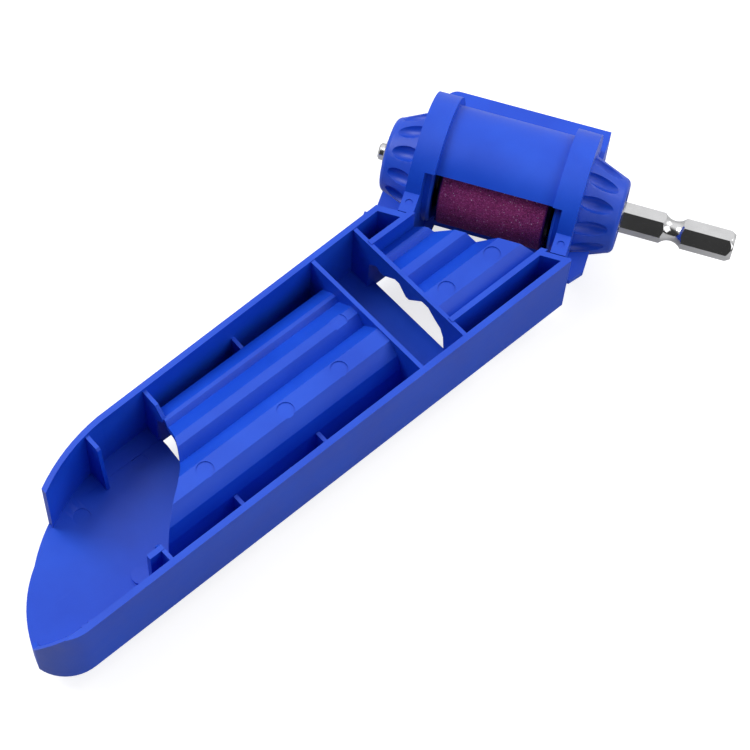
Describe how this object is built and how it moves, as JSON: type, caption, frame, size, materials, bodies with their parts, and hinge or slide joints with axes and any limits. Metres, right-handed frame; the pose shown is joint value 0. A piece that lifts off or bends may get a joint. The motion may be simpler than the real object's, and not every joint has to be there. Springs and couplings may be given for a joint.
{
  "type": "drill bit sharpener",
  "caption": "Moulded handle tray with V-grooves that guides a twist drill against an abrasive wheel turned by a hex shank in a power drill.",
  "frame": {"origin": "centre of the bounding box in plan, at the height of the lowest point", "axes": "+X along the handle tray from its thumb scoop towards the wheel, +Y from the tray's long near wall to its far wall, +Z out of the tray's open ribbed side"},
  "size_m": [0.1832, 0.0764, 0.034],
  "materials": {
    "blue_plastic": "semi-matt moulded plastic",
    "bearing_steel": "ground",
    "cage_brass": "pressed",
    "shield_steel": "pressed",
    "chrome_steel": "polished",
    "abrasive": "bonded grit",
    "bush_steel": "turned",
    "black_steel": "blackened"
  },
  "bodies": {
    "housing": {"body": "blue_plastic", "left_end_cap": "blue_plastic", "right_end_cap": "blue_plastic", "left_outer_race": "bearing_steel", "left_shields": "shield_steel", "right_outer_race": "bearing_steel", "right_shields": "shield_steel"},
    "spindle": {"arbor": "chrome_steel", "grinding_wheel": "abrasive", "wheel_bush": "bush_steel", "left_clamp_washer": "black_steel", "right_clamp_washer": "black_steel", "spring_washer": "bush_steel", "lock_nut": "bush_steel", "left_spacer": "bush_steel", "right_spacer": "bush_steel", "retaining_ring": "bush_steel", "left_inner_race": "bearing_steel", "right_inner_race": "bearing_steel"},
    "left_ball_train": {"left_cage": "cage_brass", "left_balls": "bearing_steel"},
    "right_ball_train": {"right_cage": "cage_brass", "right_balls": "bearing_steel"}
  },
  "joints": [
    {"name": "spindle_spin", "type": "hinge", "parent": "housing", "child": "spindle", "pos_m": [0.04531, 0.03574, 0.017], "axis": [0.515, -0.8572, 0], "continuous": true},
    {"name": "left_cage_spin", "type": "hinge", "parent": "housing", "child": "left_ball_train", "pos_m": [0.04531, 0.03574, 0.017], "axis": [0.515, -0.8572, 0], "continuous": true},
    {"name": "right_cage_spin", "type": "hinge", "parent": "housing", "child": "right_ball_train", "pos_m": [0.04531, 0.03574, 0.017], "axis": [0.515, -0.8572, 0], "continuous": true}
  ],
  "couplings": [
    {"joint": "left_cage_spin", "follows": "spindle_spin", "ratio": 0.39},
    {"joint": "right_cage_spin", "follows": "spindle_spin", "ratio": 0.39}
  ]
}
